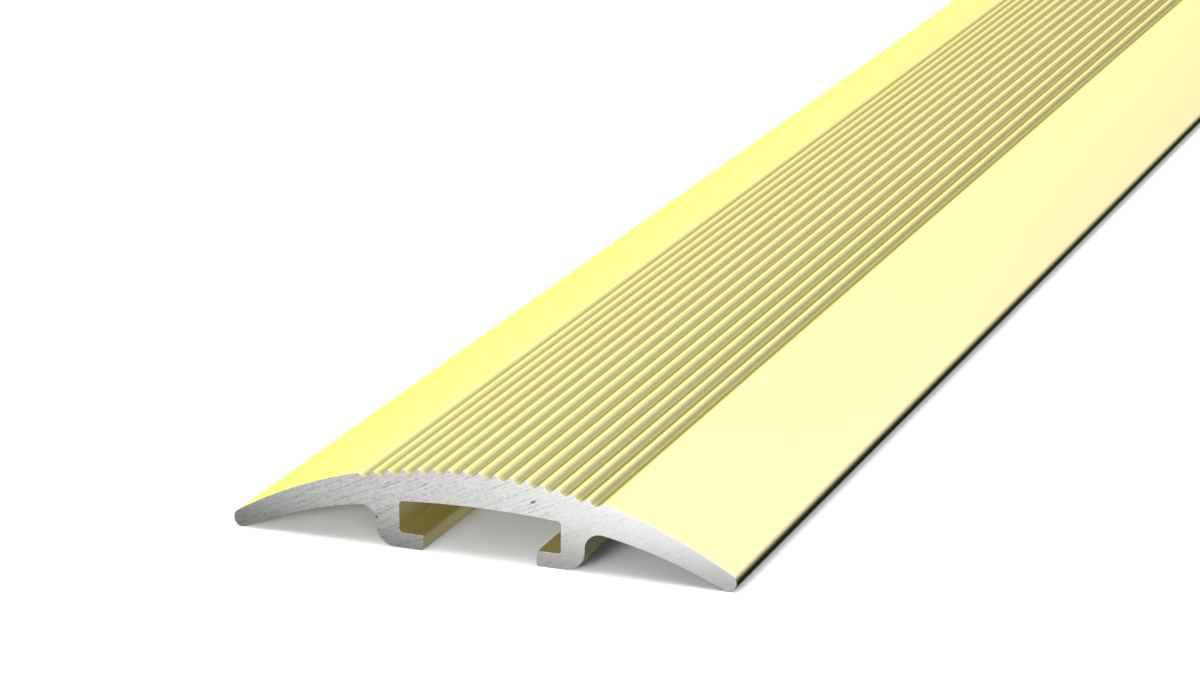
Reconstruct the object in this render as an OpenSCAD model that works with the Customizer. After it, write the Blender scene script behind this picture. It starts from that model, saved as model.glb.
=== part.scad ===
/* [Strip] */
// Length of the strip as it is sold
strip_length = 900; // [100:10:2700]
// Width over both floor edges
strip_width = 40; // [36:0.5:60]
// Height of the smooth crown above the floor
crown_height = 6.7; // [6:0.1:8]
// Radius of the round toe that lies on each floor
toe_radius = 0.7; // [0.5:0.05:0.9]
// Thickness of each wing where it leaves its leg
wing_root = 2.4; // [2:0.1:2.8]

/* [Tread ribs] */
// Grooves on each side of the middle rib
grooves_per_side = 8; // [2:1:10]
// Distance from rib to rib along the crown
rib_pitch = 1.23; // [1.1:0.01:1.5]
// Height of a rib above the bottom of its grooves
rib_height = 0.35; // [0.25:0.01:0.5]
// Depth of the rib tops below the smooth crown
rib_drop = 0.08; // [0:0.01:0.2]
// Radius over the top of each rib
rib_radius = 0.26; // [0.15:0.01:0.38]
// Radius at the bottom of each groove
groove_radius = 0.3; // [0.15:0.01:0.4]
// Radius where the last groove meets the smooth crown
band_edge_radius = 0.12; // [0.05:0.01:0.3]

/* [Clip channel] */
// Width between the inner faces of the two legs
channel_width = 12.8; // [11:0.1:15]
// Height of the ceiling above the floor at the middle of the channel
channel_height = 3.9; // [3:0.1:4.3]
// Radius of the arched ceiling
ceiling_radius = 78; // [40:1:200]
// Radius in the four inner corners of the channel
corner_radius = 0.25; // [0.1:0.05:0.5]

/* [Legs and hooks] */
// Thickness of each leg
leg_thickness = 1.9; // [1.4:0.1:2.4]
// Reach of each hook from its leg into the channel
hook_reach = 1.9; // [1:0.1:3]
// Thickness of each hook
hook_thickness = 1.2; // [0.9:0.05:1.6]
// Radius on both edges of a hook's tip
tip_radius = 0.2; // [0.1:0.05:0.4]
// Radius of the outer corner of each foot
foot_radius = 1.6; // [0.5:0.05:1.8]
// Radius at the top of the pocket between leg and wing
pocket_radius = 1.2; // [0.6:0.05:1.6]

/* [Hidden] */

// A curve is drawn in steps that stay within this distance of it and turn no further than this angle
curve_tolerance = 0.005;
largest_turn = 15;

// The crown is one arc over the whole width, of the radius that runs smoothly into both toes
toe_centre = [strip_width / 2 - toe_radius, toe_radius];
crown_radius = (toe_centre.x ^ 2 + crown_height ^ 2 - 2 * crown_height * toe_radius)
    / (2 * (crown_height - 2 * toe_radius));
crown_centre = [0, crown_height - crown_radius];
toe_turn = direction(crown_centre, toe_centre);

// A rib's round top and the round bottoms of its grooves sit on rings about the crown's centre.
// Each flank is the straight line that touches both rounds.
pitch_turn = rib_pitch / crown_radius * 180 / PI;
rib_ring = crown_radius - rib_drop - rib_radius;
groove_ring = crown_radius - rib_drop - rib_height + groove_radius;
across = rib_ring * sin(pitch_turn / 2);
upward = groove_ring - rib_ring * cos(pitch_turn / 2);
flank_tilt = asin((rib_radius + groove_radius) / norm([across, upward])) - atan2(upward, across);
rib_side = pitch_turn / 2 + flank_tilt;

// The outer flank of the last groove runs up to the smooth crown and ends in a small round edge
last_groove = 90 - (grooves_per_side - 0.5) * pitch_turn;
flank_reach = groove_ring * cos(flank_tilt) - groove_radius;
edge_ring = crown_radius - band_edge_radius;
band_edge = last_groove + flank_tilt - acos((flank_reach - band_edge_radius) / edge_ring);

// The hollow under a wing follows the crown at the wing's mean thickness, from its root to its toe
leg_outer = channel_width / 2 + leg_thickness;
root_ring = crown_radius - wing_root;
root_point = crown_centre + polar(acos((leg_outer + pocket_radius) / root_ring), root_ring);
hollow_radius = crown_radius - (wing_root + 2 * toe_radius) / 2;
hollow_centre = lower_crossing(root_point, hollow_radius, toe_centre, hollow_radius + toe_radius);
hollow_turn = direction(hollow_centre, toe_centre);

// The pocket's round top touches the hollow and the outer face of the leg
pocket_centre = on_ring(leg_outer + pocket_radius, hollow_centre, hollow_radius - pocket_radius);
pocket_turn = direction(hollow_centre, pocket_centre);

// The foot's round corner reaches no higher than the pocket's round
foot_round = min(foot_radius, pocket_centre.y);
foot_centre = [leg_outer - foot_round, foot_round];

// Between the hook tips the channel stays open to the floor
hook_tip = channel_width / 2 - hook_reach;
corner_x = channel_width / 2 - corner_radius;
ceiling_centre = [0, channel_height - ceiling_radius];
ceiling_corner = on_ring(corner_x, ceiling_centre, ceiling_radius - corner_radius);
ceiling_turn = direction(ceiling_centre, ceiling_corner);

function polar(turn, radius) = radius * [cos(turn), sin(turn)];

function direction(from, to) = atan2(to.y - from.y, to.x - from.x);

// The upper point of a circle at a given x
function on_ring(x, centre, radius) = [x, centre.y + sqrt(radius ^ 2 - (x - centre.x) ^ 2)];

// The lower of the two points that lie radius_a from a and radius_b from b, with b to the right
function lower_crossing(a, radius_a, b, radius_b) =
    let (gap = norm(b - a))
    let (way = (b - a) / gap)
    let (along = (radius_a ^ 2 - radius_b ^ 2 + gap ^ 2) / (2 * gap))
    let (aside = sqrt(radius_a ^ 2 - along ^ 2))
    a + along * way + aside * [way.y, -way.x];

// Points of an arc from one turn to another, anticlockwise from the right where the turn grows
function arc(centre, radius, from, to) =
    let (step = min(largest_turn, 2 * acos(1 - curve_tolerance / radius)))
    let (steps = ceil(abs(to - from) / step))
    [for (i = [0 : steps]) centre + polar(from + (to - from) * i / steps, radius)];

function groove(turn) =
    let (centre = crown_centre + polar(turn, groove_ring))
    arc(centre, groove_radius, turn - flank_tilt - 180, turn + flank_tilt - 180);

function rib(turn, from) =
    arc(crown_centre + polar(turn, rib_ring), rib_radius, from, turn - rib_side);

// Half of the middle rib, then grooves and ribs in turn, out to the last groove
function ribbed_band() = concat(
    rib(90, 90),
    [for (i = [1 : grooves_per_side - 1])
        let (turn = 90 - i * pitch_turn)
        each concat(groove(turn + pitch_turn / 2), rib(turn, turn + rib_side))],
    groove(last_groove)
);

// The smooth crown beside the ribs, the toe by its outermost and its lowest point, and the
// hollow and the pocket, back to the leg
function wing() = concat(
    arc(crown_centre + polar(band_edge, edge_ring), band_edge_radius, last_groove + flank_tilt, band_edge),
    arc(crown_centre, crown_radius, band_edge, toe_turn),
    arc(toe_centre, toe_radius, toe_turn, 0),
    arc(toe_centre, toe_radius, 0, -90),
    arc(toe_centre, toe_radius, -90, hollow_turn - 180),
    arc(hollow_centre, hollow_radius, hollow_turn, pocket_turn),
    arc(pocket_centre, pocket_radius, pocket_turn, 180)
);

function foot_and_hook() = concat(
    arc(foot_centre, foot_round, 0, -90),
    arc([hook_tip + tip_radius, tip_radius], tip_radius, -90, -180),
    arc([hook_tip + tip_radius, hook_thickness - tip_radius], tip_radius, 180, 90)
);

function channel_side() = concat(
    arc([corner_x, hook_thickness + corner_radius], corner_radius, -90, 0),
    arc(ceiling_corner, corner_radius, 0, ceiling_turn),
    arc(ceiling_centre, ceiling_radius, ceiling_turn, 90)
);

function mirrored(points) = [for (i = [len(points) - 1 : -1 : 0]) [-points[i].x, points[i].y]];

// Leaves out each point that repeats the next one, as where two arcs meet
function without_repeats(points) =
    [for (i = [0 : len(points) - 1])
        let (next = points[(i + 1) % len(points)])
        if (norm(next - points[i]) > curve_tolerance) points[i]];

right_half = concat(ribbed_band(), wing(), foot_and_hook(), channel_side());
section = without_repeats(concat(right_half, mirrored(right_half)));

// The strip is one extrusion of this section along Y, sawn square at both ends
module transition_strip() {
    color("palegoldenrod")
        rotate([90, 0, 0])
            linear_extrude(height = strip_length, center = true)
                polygon(section);
}

transition_strip();
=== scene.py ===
import math

import bmesh
import bpy
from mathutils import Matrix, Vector


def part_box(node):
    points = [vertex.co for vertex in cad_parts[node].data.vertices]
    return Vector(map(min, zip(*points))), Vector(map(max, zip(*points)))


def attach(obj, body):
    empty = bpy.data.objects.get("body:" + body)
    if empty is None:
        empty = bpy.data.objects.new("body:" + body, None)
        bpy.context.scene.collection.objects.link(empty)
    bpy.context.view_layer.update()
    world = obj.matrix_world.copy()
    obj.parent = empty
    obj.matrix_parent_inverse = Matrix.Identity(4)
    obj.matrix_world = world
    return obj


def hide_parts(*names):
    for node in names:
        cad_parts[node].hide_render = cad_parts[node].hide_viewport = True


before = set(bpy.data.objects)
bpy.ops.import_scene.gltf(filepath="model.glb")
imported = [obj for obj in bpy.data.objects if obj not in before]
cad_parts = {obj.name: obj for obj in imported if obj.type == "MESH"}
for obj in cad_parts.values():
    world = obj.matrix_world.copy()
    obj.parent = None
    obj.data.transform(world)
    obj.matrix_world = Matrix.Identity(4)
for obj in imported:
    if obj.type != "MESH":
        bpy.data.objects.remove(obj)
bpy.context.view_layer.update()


# The strip: one length of aluminium pressed through a die, so every line of it runs along Y.
# It is anodised pale gold in long bars and then sawn square, which leaves both ends bare.
# Nothing is fixed to it: it clips onto a floor rail with the two hooks under its crown.
MM = 0.001
strip_low, strip_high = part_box("transition_strip")
strip_width = strip_high.x - strip_low.x
toe_radius = 0.7 * MM
wing_root = 2.4 * MM
grooves_per_side = 8
rib_pitch = 1.23 * MM
rib_height = 0.35 * MM
rib_drop = 0.08 * MM
rib_radius = 0.26 * MM
groove_radius = 0.3 * MM
band_edge_radius = 0.12 * MM
channel_width = 12.8 * MM
channel_height = 3.9 * MM
ceiling_radius = 78 * MM
corner_radius = 0.25 * MM
leg_thickness = 1.9 * MM
hook_reach = 1.9 * MM
hook_thickness = 1.2 * MM
tip_radius = 0.2 * MM
foot_radius = 1.6 * MM
pocket_radius = 1.2 * MM
crown_height = strip_high.z + rib_drop
edge_break = 0.03 * MM
ring_spacing = 25 * MM
widest_turn = math.radians(6)
longest_chord = 0.5 * MM
RIGHT, DOWN, LEFT, UP = 0, -math.pi / 2, math.pi, math.pi / 2


def polar(turn, radius):
    return Vector((math.cos(turn), math.sin(turn))) * radius


def direction(start, end):
    return math.atan2(end.y - start.y, end.x - start.x)


def on_ring(x, centre, radius):
    """The upper point of a circle at a given x."""
    return Vector((x, centre.y + math.sqrt(radius**2 - (x - centre.x) ** 2)))


def lower_crossing(a, radius_a, b, radius_b):
    """The lower point that lies radius_a from a and radius_b from b, with b to the right."""
    gap = (b - a).length
    way = (b - a) / gap
    along = (radius_a**2 - radius_b**2 + gap**2) / (2 * gap)
    aside = math.sqrt(radius_a**2 - along**2)
    return a + way * along + Vector((way.y, -way.x)) * aside


def arc(centre, radius, start, end):
    """Points of the outline, which runs clockwise round the metal, each with the way it faces."""
    outward = 1 if end < start else -1
    steps = math.ceil(abs(end - start) / min(widest_turn, longest_chord / radius))
    turns = [start + (end - start) * i / steps for i in range(steps + 1)]
    return [(centre + polar(turn, radius), polar(turn, outward)) for turn in turns]


toe_centre = Vector((strip_width / 2 - toe_radius, toe_radius))
crown_radius = (toe_centre.x**2 + crown_height**2 - 2 * crown_height * toe_radius) / (
    2 * (crown_height - 2 * toe_radius)
)
crown_centre = Vector((0, crown_height - crown_radius))
toe_turn = direction(crown_centre, toe_centre)

# Each rib's round top and each groove's round bottom sit on rings about the crown's centre, and
# the flank between them is the straight line that touches both.
pitch_turn = rib_pitch / crown_radius
rib_ring = crown_radius - rib_drop - rib_radius
groove_ring = crown_radius - rib_drop - rib_height + groove_radius
across = rib_ring * math.sin(pitch_turn / 2)
upward = groove_ring - rib_ring * math.cos(pitch_turn / 2)
touching_turn = math.asin((rib_radius + groove_radius) / math.hypot(across, upward))
flank_tilt = touching_turn - math.atan2(upward, across)
last_groove = UP - (grooves_per_side - 0.5) * pitch_turn
flank_reach = groove_ring * math.cos(flank_tilt) - groove_radius
edge_ring = crown_radius - band_edge_radius
band_edge = last_groove + flank_tilt - math.acos((flank_reach - band_edge_radius) / edge_ring)


def groove(turn):
    centre = crown_centre + polar(turn, groove_ring)
    return arc(centre, groove_radius, turn - flank_tilt - LEFT, turn + flank_tilt - LEFT)


def rib(turn, start):
    centre = crown_centre + polar(turn, rib_ring)
    return arc(centre, rib_radius, start, turn - pitch_turn / 2 - flank_tilt)


def ribbed_band():
    points = rib(UP, UP)
    for i in range(1, grooves_per_side):
        turn = UP - i * pitch_turn
        points += groove(turn + pitch_turn / 2)
        points += rib(turn, turn + pitch_turn / 2 + flank_tilt)
    return points + groove(last_groove)


def wing_top():
    edge_centre = crown_centre + polar(band_edge, edge_ring)
    return (
        arc(edge_centre, band_edge_radius, last_groove + flank_tilt, band_edge)
        + arc(crown_centre, crown_radius, band_edge, toe_turn)
        + arc(toe_centre, toe_radius, toe_turn, RIGHT)
    )


leg_outer = channel_width / 2 + leg_thickness
root_ring = crown_radius - wing_root
root_point = crown_centre + polar(math.acos((leg_outer + pocket_radius) / root_ring), root_ring)
hollow_radius = crown_radius - (wing_root + 2 * toe_radius) / 2
hollow_centre = lower_crossing(root_point, hollow_radius, toe_centre, hollow_radius + toe_radius)
hollow_turn = direction(hollow_centre, toe_centre)
pocket_centre = on_ring(leg_outer + pocket_radius, hollow_centre, hollow_radius - pocket_radius)
pocket_turn = direction(hollow_centre, pocket_centre)


def wing_underside():
    return (
        arc(toe_centre, toe_radius, RIGHT, DOWN)
        + arc(toe_centre, toe_radius, DOWN, hollow_turn - LEFT)
        + arc(hollow_centre, hollow_radius, hollow_turn, pocket_turn)
        + arc(pocket_centre, pocket_radius, pocket_turn, LEFT)
    )


foot_round = min(foot_radius, pocket_centre.y)
foot_centre = Vector((leg_outer - foot_round, foot_round))
hook_tip = channel_width / 2 - hook_reach
lower_tip = Vector((hook_tip + tip_radius, tip_radius))
upper_tip = Vector((hook_tip + tip_radius, hook_thickness - tip_radius))


def foot_and_hook():
    return (
        arc(foot_centre, foot_round, RIGHT, DOWN)
        + arc(lower_tip, tip_radius, DOWN, -LEFT)
        + arc(upper_tip, tip_radius, LEFT, UP)
    )


corner_x = channel_width / 2 - corner_radius
floor_corner = Vector((corner_x, hook_thickness + corner_radius))
ceiling_centre = Vector((0, channel_height - ceiling_radius))
ceiling_corner = on_ring(corner_x, ceiling_centre, ceiling_radius - corner_radius)
ceiling_turn = direction(ceiling_centre, ceiling_corner)


def channel_side():
    return (
        arc(floor_corner, corner_radius, DOWN, RIGHT)
        + arc(ceiling_corner, corner_radius, RIGHT, ceiling_turn)
        + arc(ceiling_centre, ceiling_radius, ceiling_turn, UP)
    )


def mirrored(points):
    return [(Vector((-p.x, p.y)), Vector((-n.x, n.y))) for p, n in reversed(points)]


same_place = 0.001 * MM


def without_repeats(points):
    """Leaves out each point that repeats the one before it, as where two arcs meet."""
    kept = points[:1]
    for p, n in points[1:]:
        if (p - kept[-1][0]).length > same_place:
            kept.append((p, n))
    return kept


# The outline starts at the left toe and goes over the top to the right toe, then back below
right_top = ribbed_band() + wing_top()
right_below = wing_underside() + foot_and_hook() + channel_side()
top = without_repeats(mirrored(right_top) + right_top)
below = without_repeats(right_below + mirrored(right_below))
outline = top[:-1] + below[:-1]
count = len(outline)

# Rings of points along the strip. The first and the last are the outlines of the sawn faces,
# drawn in by the small break that deburring leaves.
y_near, y_far = strip_low.y, strip_high.y
stretches = round((y_far - y_near) / ring_spacing)
stretch = (y_far - y_near - 2 * edge_break) / stretches
rings = [(y_near + edge_break + i * stretch, 0) for i in range(stretches + 1)]
rings = [(y_near, edge_break)] + rings + [(y_far, edge_break)]
vertices = []
for y, inset in rings:
    for p, n in outline:
        drawn_in = p - n * inset
        vertices.append((drawn_in.x, y, drawn_in.y))

faces = []
for r in range(len(rings) - 1):
    for k in range(count):
        a, b = r * count + k, r * count + (k + 1) % count
        faces.append((a, b, b + count, a + count))
faces.append(tuple(reversed(range(count))))
faces.append(tuple(range((len(rings) - 1) * count, len(rings) * count)))

mesh = bpy.data.meshes.new("extruded_strip")
mesh.from_pydata(vertices, [], faces)
work = bmesh.new()
work.from_mesh(mesh)
bmesh.ops.triangulate(work, faces=[f for f in work.faces if len(f.verts) > 4])
work.to_mesh(mesh)
work.free()

# The skin is smooth all the way round, and turns into the flat sawn face over the small break
skin, sawn = 0, 1
last_ring = len(rings) - 1
normals = []
for face in mesh.polygons:
    ring_numbers = [v // count for v in face.vertices]
    at_an_end = min(ring_numbers) == 0 or max(ring_numbers) == last_ring
    face.material_index = sawn if at_an_end else skin
    face.use_smooth = True
    for v in face.vertices:
        ring = v // count
        facing = outline[v % count][1]
        if ring == 0:
            normals.append((0, -1, 0))
        elif ring == last_ring:
            normals.append((0, 1, 0))
        else:
            normals.append((facing.x, 0, facing.y))
mesh.normals_split_custom_set(normals)

# The flat pattern: both sawn faces at the bottom, then the underside, then the top with its ribs
margin = 0.004
face_scale = (1 - 2 * margin) / strip_width
face_height = (strip_high.z - strip_low.z) * face_scale
far_face_v = face_height + 3 * margin
below_v = far_face_v + face_height + 2 * margin
top_v = 0.66


def distances(points):
    """How far round the outline each point lies, from 0 at the first to 1 at the last."""
    travelled = [0]
    for (p, _), (q, _) in zip(points, points[1:]):
        travelled.append(travelled[-1] + (q - p).length)
    return [t / travelled[-1] for t in travelled]


def inside_margin(share):
    return margin + share * (1 - 2 * margin)


round_top, round_below = distances(top), distances(below)
pattern = mesh.uv_layers.new(name="OFBake")
for face in mesh.polygons:
    ring_numbers = [v // count for v in face.vertices]
    if len(set(ring_numbers)) == 1:
        base_v = margin if ring_numbers[0] == 0 else far_face_v
        for corner, v in zip(face.loop_indices, face.vertices):
            x, _, z = mesh.vertices[v].co
            pattern.data[corner].uv = (inside_margin(x / strip_width + 0.5), base_v + z * face_scale)
        continue
    columns = [v % count for v in face.vertices]
    on_top = max(columns) < len(top) and not (max(columns) == len(top) - 1 and min(columns) == 0)
    first = 0 if on_top else len(top) - 1
    shares = round_top if on_top else round_below
    low_v, high_v = (top_v, 1 - margin) if on_top else (below_v, top_v - 2 * margin)
    for corner, v, column in zip(face.loop_indices, face.vertices, columns):
        place = column - first if column >= first else len(shares) - 1
        along = (mesh.vertices[v].co.y - y_near) / (y_far - y_near)
        pattern.data[corner].uv = (inside_margin(shares[place]), low_v + (high_v - low_v) * along)

strip = bpy.data.objects.new("extruded_strip", mesh)
bpy.context.scene.collection.objects.link(strip)


def metal(name):
    finish = bpy.data.materials.new(name)
    finish.use_nodes = True
    surface = finish.node_tree.nodes["Principled BSDF"]
    surface.inputs["Metallic"].default_value = 1
    return finish, surface


def marks(finish, long, wide, slant, detail, seed=0):
    """Noise drawn out into marks this long and wide. They run along Y, or slant across the sawn face."""
    nodes, links = finish.node_tree.nodes, finish.node_tree.links
    place = nodes.new("ShaderNodeTexCoord")
    drawn = nodes.new("ShaderNodeMapping")
    drawn.vector_type = "TEXTURE"
    drawn.inputs["Location"].default_value = (seed, seed, seed)
    if slant is None:
        drawn.inputs["Scale"].default_value = (wide, long, wide)
    else:
        drawn.inputs["Rotation"].default_value = (0, -slant, 0)
        drawn.inputs["Scale"].default_value = (long, wide, wide)
    noise = nodes.new("ShaderNodeTexNoise")
    noise.inputs["Scale"].default_value = 1
    noise.inputs["Detail"].default_value = detail
    links.new(place.outputs["Object"], drawn.inputs["Vector"])
    links.new(drawn.outputs["Vector"], noise.inputs["Vector"])
    return noise.outputs["Fac"]


def spread(finish, value, low, high, first, last):
    """Maps a value between low and high onto the range from first to last."""
    reach = finish.node_tree.nodes.new("ShaderNodeMapRange")
    reach.inputs["From Min"].default_value = low
    reach.inputs["From Max"].default_value = high
    reach.inputs["To Min"].default_value = first
    reach.inputs["To Max"].default_value = last
    finish.node_tree.links.new(value, reach.inputs["Value"])
    return reach.outputs["Result"]


def arithmetic(finish, operation, first, second):
    worked_out = finish.node_tree.nodes.new("ShaderNodeMath")
    worked_out.operation = operation
    for socket, value in zip(worked_out.inputs, (first, second)):
        if isinstance(value, (int, float)):
            socket.default_value = value
        else:
            finish.node_tree.links.new(value, socket)
    return worked_out.outputs["Value"]


def ramp(finish, value, stops):
    """Turns a value from 0 to 1 into a colour."""
    colours = finish.node_tree.nodes.new("ShaderNodeValToRGB")
    elements = colours.color_ramp.elements
    while len(elements) < len(stops):
        elements.new(0.5)
    for element, (place, colour) in zip(elements, stops.items()):
        element.position = place
        element.color = (*colour, 1)
    finish.node_tree.links.new(value, colours.inputs["Fac"])
    return colours.outputs["Color"]


def distance(finish, place):
    """How far a place lies from zero."""
    length = finish.node_tree.nodes.new("ShaderNodeVectorMath")
    length.operation = "LENGTH"
    finish.node_tree.links.new(place, length.inputs[0])
    return length.outputs["Value"]


# Pale gold anodising: the dye gives the colour, which is deeper where light passes through it at
# a low angle. The wings are bright. The grooves are painted darker by their depth below the crown,
# as painted shade, and the die's fine lines run along the whole length.
gold, gold_surface = metal("pale_gold_anodising")
gold_nodes, gold_links = gold.node_tree.nodes, gold.node_tree.links
deepest = 0.5 * MM
edge_depth = 0.04 * MM
upper_flank_depth = 0.19 * MM
lower_flank_depth = 0.32 * MM
groove_depth = rib_drop + rib_height
# Painted shade: the darker colours in this ramp stand for shade in the grooves; the deepest is the
# underside's pale gold.
gold_and_painted_groove_shade = {
    0: (0.97, 0.91, 0.545),
    edge_depth: (0.86, 0.81, 0.38),
    rib_drop: (0.95, 0.9, 0.5),
    upper_flank_depth: (0.77, 0.73, 0.32),
    lower_flank_depth: (0.5, 0.468, 0.21),
    groove_depth: (0.43, 0.4, 0.19),
    deepest: (0.92, 0.875, 0.71),
}

# Seen at a low angle, the wings are yellower, and the grooves' lower flanks are painted darker as painted
# shade
tint_and_painted_flank_shade = {
    0: (1, 1, 0.6),
    rib_drop: (1, 1, 0.6),
    lower_flank_depth: (0.65, 0.65, 0.38),
    groove_depth: (1, 1, 0.7),
    deepest: (0.9, 0.9, 0.5),
}
place_in_strip = gold_nodes.new("ShaderNodeTexCoord")
from_centre = gold_nodes.new("ShaderNodeMapping")
from_centre.inputs["Location"].default_value = (0, 0, -crown_centre.y)
from_centre.inputs["Scale"].default_value = (1, 0, 1)
gold_links.new(place_in_strip.outputs["Object"], from_centre.inputs["Vector"])
reach_out = distance(gold, from_centre.outputs["Vector"])
below_crown = spread(gold, reach_out, crown_radius, crown_radius - deepest, 0, 1)


def by_depth(colours):
    """Colours by how far a place lies below the crown's own arc."""
    return ramp(gold, below_crown, {depth / deepest: colour for depth, colour in colours.items()})


# Painted light: the gold is painted paler near each cut end, where light from the front reaches into the
# ends of the grooves
end_light_width = 0.7 * MM
most_end_light = 0.5
end_light_gold = (0.97, 0.94, 0.6)
half_length = (y_far - y_near) / 2
from_middle = gold_nodes.new("ShaderNodeSeparateXYZ")
gold_links.new(place_in_strip.outputs["Object"], from_middle.inputs["Vector"])
towards_cut = arithmetic(gold, "ABSOLUTE", from_middle.outputs["Y"], 0)
painted_end_light = spread(gold, towards_cut, half_length - end_light_width, half_length, 0, most_end_light)
gold_with_end_light = gold_nodes.new("ShaderNodeMixRGB")
gold_with_end_light.inputs["Color2"].default_value = (*end_light_gold, 1)
gold_links.new(painted_end_light, gold_with_end_light.inputs["Fac"])
gold_links.new(by_depth(gold_and_painted_groove_shade), gold_with_end_light.inputs["Color1"])
gold_links.new(gold_with_end_light.outputs["Color"], gold_surface.inputs["Base Color"])
gold_links.new(by_depth(tint_and_painted_flank_shade), gold_surface.inputs["Specular Tint"])

faint_line, strong_line = 0.3, 0.7
sleek, dull = 0.28, 0.34
die_lines = marks(gold, long=240 * MM, wide=0.5 * MM, slant=None, detail=3)
lined = spread(gold, die_lines, faint_line, strong_line, sleek, dull)
gold_links.new(lined, gold_surface.inputs["Roughness"])

# Bare aluminium, sawn: the blade leaves long fine scratches that slant across the face, over a
# finely torn grain. The near end has two small pits in it.
bare, bare_surface = metal("sawn_aluminium")
bare_nodes, bare_links = bare.node_tree.nodes, bare.node_tree.links
saw_slant = math.radians(25)
long_scratches = marks(bare, long=14 * MM, wide=0.1 * MM, slant=saw_slant, detail=3)
short_scratches = marks(bare, long=2 * MM, wide=0.12 * MM, slant=saw_slant, detail=3, seed=3)
torn_grain = marks(bare, long=0.4 * MM, wide=0.2 * MM, slant=saw_slant, detail=2, seed=7)
scratched = arithmetic(bare, "ADD", long_scratches, arithmetic(bare, "ADD", short_scratches, torn_grain))
deep_cut, high_ridge = 1.1, 1.9
grey_at_height = {0: 0.42, 0.35: 0.66, 0.5: 0.72, 1: 0.86}
greys = {height: (grey, grey, grey) for height, grey in grey_at_height.items()}
bare_colour = ramp(bare, spread(bare, scratched, deep_cut, high_ridge, 0, 1), greys)

# The scratches grow fainter towards the right of the near face, into an even grey
fading_from, fading_to, most_faded = -4 * MM, 14 * MM, 0.6
even_grey = 0.73
place_on_face = bare_nodes.new("ShaderNodeTexCoord")
across_face = bare_nodes.new("ShaderNodeSeparateXYZ")
bare_links.new(place_on_face.outputs["Object"], across_face.inputs["Vector"])
faded = spread(bare, across_face.outputs["X"], fading_from, fading_to, 0, most_faded)
fainter = bare_nodes.new("ShaderNodeMixRGB")
fainter.inputs["Color2"].default_value = (even_grey, even_grey, even_grey, 1)
bare_links.new(faded, fainter.inputs["Fac"])
bare_links.new(bare_colour, fainter.inputs["Color1"])

pit_length, pit_width, pit_reach = 0.6 * MM, 0.24 * MM, 20 * MM
pit_core, pit_light = 0.4, 0.15


def pit(x, z):
    """The share of light that a small oblong pit in the near sawn face leaves."""
    in_pit = bare_nodes.new("ShaderNodeMapping")
    in_pit.vector_type = "TEXTURE"
    in_pit.inputs["Location"].default_value = (x, y_near, z)
    in_pit.inputs["Rotation"].default_value = (0, -saw_slant, 0)
    in_pit.inputs["Scale"].default_value = (pit_length / 2, pit_reach, pit_width / 2)
    bare_links.new(place_on_face.outputs["Object"], in_pit.inputs["Vector"])
    return spread(bare, distance(bare, in_pit.outputs["Vector"]), pit_core, 1, pit_light, 1)


pits = arithmetic(bare, "MULTIPLY", pit(-8.3 * MM, 2.16 * MM), pit(4.26 * MM, 4.93 * MM))
pitted = bare_nodes.new("ShaderNodeVectorMath")
pitted.operation = "SCALE"
bare_links.new(fainter.outputs["Color"], pitted.inputs[0])
bare_links.new(pits, pitted.inputs["Scale"])
bare_links.new(pitted.outputs["Vector"], bare_surface.inputs["Base Color"])

torn, shiny = 0.52, 0.4
scratch_depth = 0.004 * MM
bare_links.new(spread(bare, scratched, deep_cut, high_ridge, torn, shiny), bare_surface.inputs["Roughness"])
raised = bare_nodes.new("ShaderNodeBump")
raised.inputs["Distance"].default_value = scratch_depth
bare_links.new(scratched, raised.inputs["Height"])
bare_links.new(raised.outputs["Normal"], bare_surface.inputs["Normal"])

mesh.materials.append(gold)
mesh.materials.append(bare)
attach(strip, "root")
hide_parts("transition_strip")


# The floor: plain, flat and matt white, with the strip lying loose on it. It holds the strip's
# shadow, and a faint blue light that only the camera sees keeps that shadow grey beside the gold.
floor_reach = 40
floor_grey = 0.7
shadow_blue = (0.3, 0.4, 1)
shadow_light = 0.022


def flat_sheet(name, x0, x1, y0, y1, height, material):
    sheet = bpy.data.meshes.new(name)
    corners = [(x0, y0, height), (x1, y0, height), (x1, y1, height), (x0, y1, height)]
    sheet.from_pydata(corners, [], [(0, 1, 2, 3)])
    sheet.materials.append(material)
    piece = bpy.data.objects.new(name, sheet)
    bpy.context.scene.collection.objects.link(piece)
    return piece


floor_white = bpy.data.materials.new("floor_white")
floor_white.use_nodes = True
floor_nodes, floor_links = floor_white.node_tree.nodes, floor_white.node_tree.links
floor_nodes.clear()
matt = floor_nodes.new("ShaderNodeBsdfDiffuse")
matt.inputs["Color"].default_value = (floor_grey, floor_grey, floor_grey, 1)
lift = floor_nodes.new("ShaderNodeEmission")
lift.inputs["Color"].default_value = (*shadow_blue, 1)
ray = floor_nodes.new("ShaderNodeLightPath")
lifted = arithmetic(floor_white, "MULTIPLY", ray.outputs["Is Camera Ray"], shadow_light)
floor_links.new(lifted, lift.inputs["Strength"])
both = floor_nodes.new("ShaderNodeAddShader")
floor_links.new(matt.outputs["BSDF"], both.inputs[0])
floor_links.new(lift.outputs["Emission"], both.inputs[1])
floor_output = floor_nodes.new("ShaderNodeOutputMaterial")
floor_links.new(both.outputs["Shader"], floor_output.inputs["Surface"])
flat_sheet("floor", -floor_reach, floor_reach, -floor_reach, floor_reach, 0, floor_white)


# The cards: glowing sheets laid on the floor, which only the metal mirrors, so their glow is painted
# light and painted reflection. A yellow one on the left keeps that wing bright, and black and grey
# ones on the right and before the near end give the dark edges. Under the strip they are dim, as
# painted shade for the floor's shadow there, and a small white one lights the sawn face.
card_height = 0.02 * MM
card_reach, side_reach = 2, 0.15
black_width = 6 * MM
half_end_card = 25 * MM
end_card_span = y_near - 30 * MM, y_near - 6 * MM
left, right = strip_low.x, strip_high.x


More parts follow.
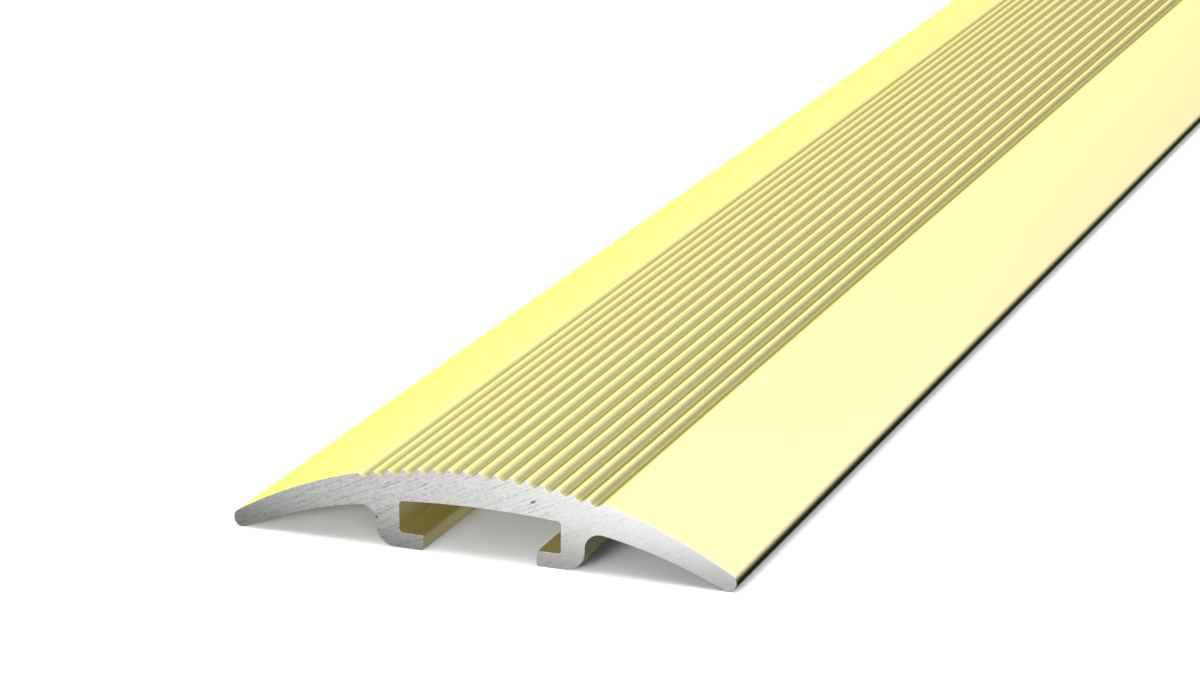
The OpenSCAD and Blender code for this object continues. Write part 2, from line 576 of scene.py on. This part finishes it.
def card(name, x0, x1, y0, y1, shade, tint=(1, 1, 1), height=card_height):
    glowing_card = bpy.data.materials.new(name)
    glowing_card.use_nodes = True
    glowing_card_nodes = glowing_card.node_tree.nodes
    glowing_card_nodes.clear()
    # Each card glows: painted light that only the metal sees
    glow = glowing_card_nodes.new("ShaderNodeEmission")
    glow.inputs["Color"].default_value = (*[shade * part for part in tint], 1)
    glowing_card_output = glowing_card_nodes.new("ShaderNodeOutputMaterial")
    glowing_card.node_tree.links.new(glow.outputs["Emission"], glowing_card_output.inputs["Surface"])
    sheet = flat_sheet(name, x0, x1, y0, y1, height, glowing_card)
    sheet.visible_camera = False
    sheet.visible_diffuse = False
    sheet.visible_shadow = False
    sheet.visible_transmission = False


card("left_card", -card_reach, left, y_near, card_reach, shade=1.12, tint=(0.98, 1, 0.4))
# These two dim cards are painted shade: the shadowed floor under the strip, as the metal mirrors it
card("channel_shade_card", -hook_tip, hook_tip, y_near, y_far, shade=0.255, tint=(1, 0.96, 0.65))
card("wing_shade_card", leg_outer, right, y_near, y_far, shade=0.1)
card("right_card", right, right + black_width, y_near, y_far + side_reach, shade=0.004)
card("grey_card", right + black_width, right + side_reach, y_near, y_far + side_reach, shade=0.3)
card("front_card", -card_reach, card_reach, -card_reach, y_near, shade=0.12)
card("end_card", -half_end_card, half_end_card, *end_card_span, shade=1.02, height=2 * card_height)


# The light: a studio whose near-white walls the metal mirrors. They are bright above the strip
# and behind it, fall off low on the right, and are dimmer behind the camera. The camera itself
# sees plain white.
studio = bpy.data.worlds.new("studio")
bpy.context.scene.world = studio
studio.use_nodes = True
studio_nodes, studio_links = studio.node_tree.nodes, studio.node_tree.links
studio_nodes.clear()
seen = studio_nodes.new("ShaderNodeLightPath")
way = studio_nodes.new("ShaderNodeTexCoord")
parts = studio_nodes.new("ShaderNodeSeparateXYZ")
studio_links.new(way.outputs["Generated"], parts.inputs["Vector"])

# The walls' colours by the angle round the strip, in degrees from straight up towards the right
wall_colours = {
    -180: (1.1, 1.1, 1),
    -90: (1.1, 1.1, 0.75),
    -78: (1.1, 1.1, 0.75),
    -58: (1.12, 1.12, 0.98),
    -20: (1.25, 1.24, 1.23),
    15: (1.25, 1.23, 1.17),
    33: (1.22, 1.19, 1.38),
    45: (1.24, 1.2, 1.56),
    60: (1.07, 1.05, 1.15),
    72: (0.74, 0.71, 0.8),
    81: (0.22, 0.21, 0.26),
    88: (0.01, 0.01, 0.012),
    180: (0.01, 0.01, 0.012),
}
brightest = max(max(colour) for colour in wall_colours.values())
wall_shares = {angle: tuple(part / brightest for part in colour) for angle, colour in wall_colours.items()}

# Far back, the walls above the strip and on its right are a faintly pink white
pink_shares = {
    -12: (1, 1, 1),
    0: (1, 0.935, 0.98),
    9: (1, 0.88, 0.94),
    20: (1, 0.84, 0.92),
    42: (0.95, 0.87, 0.95),
    60: (0.9, 0.84, 0.95),
}
around = arithmetic(studio, "ARCTAN2", parts.outputs["X"], parts.outputs["Z"])
full_turn = spread(studio, around, -math.pi, math.pi, 0, 1)


def by_angle(colours):
    return ramp(studio, full_turn, {angle / 360 + 0.5: colour for angle, colour in colours.items()})


# How far a way points back: -1 is straight towards the camera's side, 1 straight up the strip
backward = parts.outputs["Y"]
pink_from, pink_to = 0.89, 0.925
camera_wall_to, camera_wall_from, camera_wall_shade = -0.2, 0.5, 0.6
end_wall_from, end_wall_to, end_wall_shade = 0.88, 0.97, 0.82
pinker = studio_nodes.new("ShaderNodeMixRGB")
pinker.blend_type = "MULTIPLY"
studio_links.new(spread(studio, backward, pink_from, pink_to, 0, 1), pinker.inputs["Fac"])
studio_links.new(by_angle(wall_shares), pinker.inputs["Color1"])
studio_links.new(by_angle(pink_shares), pinker.inputs["Color2"])
towards_back = spread(studio, backward, camera_wall_to, camera_wall_from, camera_wall_shade, 1)
far_back = spread(studio, backward, end_wall_from, end_wall_to, 1, end_wall_shade)
falloff = arithmetic(studio, "MULTIPLY", towards_back, far_back)
mirrored_walls = studio_nodes.new("ShaderNodeBackground")
studio_links.new(pinker.outputs["Color"], mirrored_walls.inputs["Color"])
studio_links.new(arithmetic(studio, "MULTIPLY", falloff, brightest), mirrored_walls.inputs["Strength"])
white = studio_nodes.new("ShaderNodeBackground")
white.inputs["Color"].default_value = (1, 1, 1, 1)
looked_at = studio_nodes.new("ShaderNodeMixShader")
studio_links.new(seen.outputs["Is Camera Ray"], looked_at.inputs["Fac"])
studio_links.new(mirrored_walls.outputs["Background"], looked_at.inputs[1])
studio_links.new(white.outputs["Background"], looked_at.inputs[2])
studio_output = studio_nodes.new("ShaderNodeOutputWorld")
studio_links.new(looked_at.outputs["Shader"], studio_output.inputs["Surface"])


# The lamps: soft round ones, all aimed at the near end. Five light the floor and shape its
# shadows, and the metal doesn't mirror them. The small face lamp shines on the metal alone.
near_end = Vector((0, y_near, 3 * MM))
lamp_distance = 2
lamp_size, wide_lamp_size = (0.35, 0.35), (0.7, 0.35)
channel_lamp_size, face_lamp_size = (12 * MM, 6 * MM), (33 * MM, 33 * MM)


def soft_lamp(name, place, size, power):
    light = bpy.data.lights.new(name, "AREA")
    light.shape = "ELLIPSE"
    light.size, light.size_y = size
    light.energy = power
    lamp = bpy.data.objects.new(name, light)
    lamp.location = place
    lamp.rotation_euler = (near_end - lamp.location).to_track_quat("-Z", "Y").to_euler()
    lamp.visible_camera = False
    bpy.context.scene.collection.objects.link(lamp)
    return lamp


def round_near_end(turn, rise):
    """A place round the near end: the turn runs from straight back towards the right."""
    turn, rise = math.radians(turn), math.radians(rise)
    way_out = Vector((math.sin(turn) * math.cos(rise), math.cos(turn) * math.cos(rise), math.sin(rise)))
    return near_end + way_out * lamp_distance


before_channel = near_end + Vector((2 * MM, -16 * MM, 3 * MM))
before_face = near_end + Vector((10 * MM, -35 * MM, 9 * MM))
floor_lamps = [
    soft_lamp("top_lamp", round_near_end(turn=-90, rise=85), lamp_size, power=10.5),
    soft_lamp("left_lamp", round_near_end(turn=-120, rise=65), lamp_size, power=9),
    soft_lamp("front_lamp", round_near_end(turn=-174, rise=14), wide_lamp_size, power=42),
    soft_lamp("right_lamp", round_near_end(turn=90, rise=12), lamp_size, power=48),
    soft_lamp("channel_lamp", before_channel, channel_lamp_size, power=0.0028),
]
for lamp in floor_lamps:
    lamp.visible_glossy = False
face_lamp = soft_lamp("face_lamp", before_face, face_lamp_size, power=0.013)
face_lamp.visible_diffuse = False


# The camera: a long lens close to the floor, turned to look up the strip from the right of its
# near end. The far end runs out of the picture at the top.
lens_length, film_width = 119.7, 36
camera_x, camera_before_end, camera_z = 107.3 * MM, 253.9 * MM, 101.8 * MM
looking_down, turned_left = math.radians(17.11), math.radians(21.07)
lens_data = bpy.data.cameras.new("camera")
lens_data.lens = lens_length
lens_data.sensor_width = film_width
lens_data.clip_start = 10 * MM
lens_data.clip_end = 100
camera = bpy.data.objects.new("camera", lens_data)
bpy.context.scene.collection.objects.link(camera)
camera.location = (camera_x, y_near - camera_before_end, camera_z)
camera.rotation_euler = (math.pi / 2 - looking_down, 0, turned_left)
bpy.context.scene.camera = camera
bpy.context.scene.view_settings.view_transform = "Standard"
